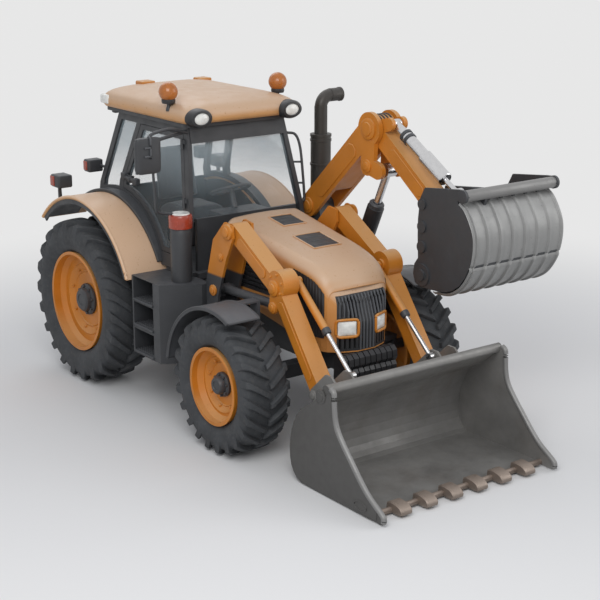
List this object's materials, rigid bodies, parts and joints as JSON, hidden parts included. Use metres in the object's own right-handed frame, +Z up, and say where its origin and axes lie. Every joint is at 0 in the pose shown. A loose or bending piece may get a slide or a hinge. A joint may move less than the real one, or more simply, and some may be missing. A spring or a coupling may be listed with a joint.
{
  "type": "backhoe loader",
  "caption": "Wheeled tractor with a glazed cab, a front loader bucket on two lift arms and a slewing digging arm with a bucket beside the hood.",
  "frame": {"origin": "middle of the machine's plan box, on the ground", "axes": "+X forward, +Y to the machine's left, +Z up"},
  "size_m": [5.38, 3.02, 2.9929],
  "materials": {
    "tyre": "matte",
    "amber_paint": "gloss",
    "bucket_grey": "satin",
    "glass": "clear",
    "chrome": "polished",
    "lamp_clear": "gloss",
    "lamp_red": "gloss",
    "beacon_amber": "gloss",
    "seat_cover": "matte",
    "black_paint": "satin",
    "exhaust_grey": "satin",
    "charcoal": "satin"
  },
  "bodies": {
    "chassis": {"drivetrain": "charcoal", "front_axle": "charcoal", "hood": "amber_paint", "grilles": "black_paint", "front_lamps": "lamp_clear", "rear_lamps": "lamp_red", "front_weights": "black_paint", "cab_floor": "charcoal", "cab_frame": "charcoal", "roof": "amber_paint", "beacons": "beacon_amber", "cab_glass": "glass", "seat_unit": "seat_cover", "rear_fenders": "amber_paint", "step_box": "charcoal", "swing_base": "charcoal", "air_intake": "charcoal", "exhaust": "exhaust_grey", "loader_towers": "amber_paint"},
    "door_right": {"door_frame": "charcoal", "door_glass": "glass"},
    "steer_hub_left": {"knuckle_left": "charcoal"},
    "steer_hub_right": {"knuckle_right": "charcoal"},
    "wheel_front_left": {"tyre_front_left": "tyre", "rim_front_left": "amber_paint"},
    "wheel_front_right": {"tyre_front_right": "tyre", "rim_front_right": "amber_paint"},
    "wheel_rear_left": {"tyre_rear_left": "tyre", "rim_rear_left": "amber_paint"},
    "wheel_rear_right": {"tyre_rear_right": "tyre", "rim_rear_right": "amber_paint"},
    "loader": {"loader_arms": "amber_paint"},
    "front_bucket": {"loader_bucket": "bucket_grey"},
    "lift_cylinder": {"lift_barrels": "charcoal"},
    "lift_ram": {"lift_rods": "chrome"},
    "tilt_cylinder": {"tilt_barrels": "charcoal"},
    "tilt_ram": {"tilt_rods": "chrome"},
    "slew_post": {"swing_post": "charcoal"},
    "boom_arm": {"boom": "amber_paint"},
    "stick_arm": {"stick": "amber_paint"},
    "rear_bucket": {"dig_bucket": "bucket_grey"},
    "boom_cylinder": {"boom_barrel": "charcoal"},
    "boom_ram": {"boom_rod": "chrome"},
    "bucket_cylinder": {"bucket_barrel": "amber_paint"},
    "bucket_ram": {"bucket_rod": "chrome"}
  },
  "joints": [
    {"name": "rear_left_spin", "type": "hinge", "parent": "chassis", "child": "wheel_rear_left", "pos_m": [-1.79, 0.64, 0.8], "axis": [0, 1, 0], "continuous": true},
    {"name": "rear_right_spin", "type": "hinge", "parent": "chassis", "child": "wheel_rear_right", "pos_m": [-1.79, -1.22, 0.8], "axis": [0, 1, 0], "continuous": true},
    {"name": "steer_left", "type": "hinge", "parent": "chassis", "child": "steer_hub_left", "pos_m": [0.646, 0.45, 0.604], "axis": [0, 0, 1], "range_deg": [-27, 27]},
    {"name": "steer_right", "type": "hinge", "parent": "chassis", "child": "steer_hub_right", "pos_m": [0.646, -1.03, 0.604], "axis": [0, 0, 1], "range_deg": [-27, 27]},
    {"name": "front_left_spin", "type": "hinge", "parent": "steer_hub_left", "child": "wheel_front_left", "pos_m": [0.646, 0.655, 0.604], "axis": [0, 1, 0], "continuous": true},
    {"name": "front_right_spin", "type": "hinge", "parent": "steer_hub_right", "child": "wheel_front_right", "pos_m": [0.646, -1.235, 0.604], "axis": [0, 1, 0], "continuous": true},
    {"name": "loader_lift", "type": "hinge", "parent": "chassis", "child": "loader", "pos_m": [0.23, -0.29, 1.81], "axis": [0, -1, 0], "range_deg": [0, 75]},
    {"name": "loader_tilt", "type": "hinge", "parent": "loader", "child": "front_bucket", "pos_m": [1.46, -0.29, 0.66], "axis": [0, 1, 0], "range_deg": [-45, 40]},
    {"name": "lift_barrel_swing", "type": "hinge", "parent": "chassis", "child": "lift_cylinder", "pos_m": [-0.01, -0.29, 1.235], "axis": [0, -1, 0], "range_deg": [-0.1, 47.2]},
    {"name": "lift_rod_slide", "type": "slide", "parent": "lift_cylinder", "child": "lift_ram", "axis": [0.9994, 0, 0.0349], "range_m": [-0.001, 0.587]},
    {"name": "tilt_barrel_swing", "type": "hinge", "parent": "loader", "child": "tilt_cylinder", "pos_m": [0.9, -0.29, 1.48], "axis": [0, 1, 0], "range_deg": [-0.4, 0.4]},
    {"name": "tilt_rod_slide", "type": "slide", "parent": "tilt_cylinder", "child": "tilt_ram", "axis": [0.7557, 0, -0.6549], "range_m": [-0.191, 0.17]},
    {"name": "arm_slew", "type": "hinge", "parent": "chassis", "child": "slew_post", "pos_m": [-0.515, 0.57, 1.3], "axis": [0, 0, 1], "range_deg": [0, 90]},
    {"name": "boom_lift", "type": "hinge", "parent": "slew_post", "child": "boom_arm", "pos_m": [-0.483, 0.57, 1.746], "axis": [0, 1, 0], "range_deg": [-32, 10]},
    {"name": "stick_swing", "type": "hinge", "parent": "boom_arm", "child": "stick_arm", "pos_m": [0.418, 0.57, 2.6], "axis": [0, 1, 0], "range_deg": [-90, 10]},
    {"name": "dig_bucket_curl", "type": "hinge", "parent": "stick_arm", "child": "rear_bucket", "pos_m": [1.27, 0.57, 1.99], "axis": [0, 1, 0], "range_deg": [-50, 50]},
    {"name": "boom_barrel_swing", "type": "hinge", "parent": "slew_post", "child": "boom_cylinder", "pos_m": [0.11, 0.57, 1.31], "axis": [0, 1, 0], "range_deg": [-25.2, 8]},
    {"name": "boom_rod_slide", "type": "slide", "parent": "boom_cylinder", "child": "boom_ram", "axis": [0.4234, 0, 0.9059], "range_m": [-0.121, 0.384]},
    {"name": "bucket_barrel_swing", "type": "hinge", "parent": "stick_arm", "child": "bucket_cylinder", "pos_m": [0.63, 0.57, 2.66], "axis": [0, 1, 0], "range_deg": [-3.1, 3.1]},
    {"name": "bucket_rod_slide", "type": "slide", "parent": "bucket_cylinder", "child": "bucket_ram", "axis": [0.8589, 0, -0.5122], "range_m": [-0.204, 0.204]},
    {"name": "door_right_hinge", "type": "hinge", "parent": "chassis", "child": "door_right", "pos_m": [-0.528, -0.94495, 1.78822], "axis": [-0.2086, 0.1192, 0.9707], "range_deg": [0, 75]}
  ],
  "couplings": [
    {"joint": "steer_right", "follows": "steer_left", "ratio": 1},
    {"joint": "lift_barrel_swing", "follows": "loader_lift", "ratio": 0.62688},
    {"joint": "lift_rod_slide", "follows": "loader_lift", "m_per_rad": 0.44749},
    {"joint": "tilt_barrel_swing", "follows": "loader_tilt", "ratio": 0.00516},
    {"joint": "tilt_rod_slide", "follows": "loader_tilt", "m_per_rad": 0.24074},
    {"joint": "boom_barrel_swing", "follows": "boom_lift", "ratio": 0.78205},
    {"joint": "boom_rod_slide", "follows": "boom_lift", "m_per_rad": -0.68477},
    {"joint": "bucket_barrel_swing", "follows": "dig_bucket_curl", "ratio": 0.05852},
    {"joint": "bucket_rod_slide", "follows": "dig_bucket_curl", "m_per_rad": 0.23174}
  ]
}
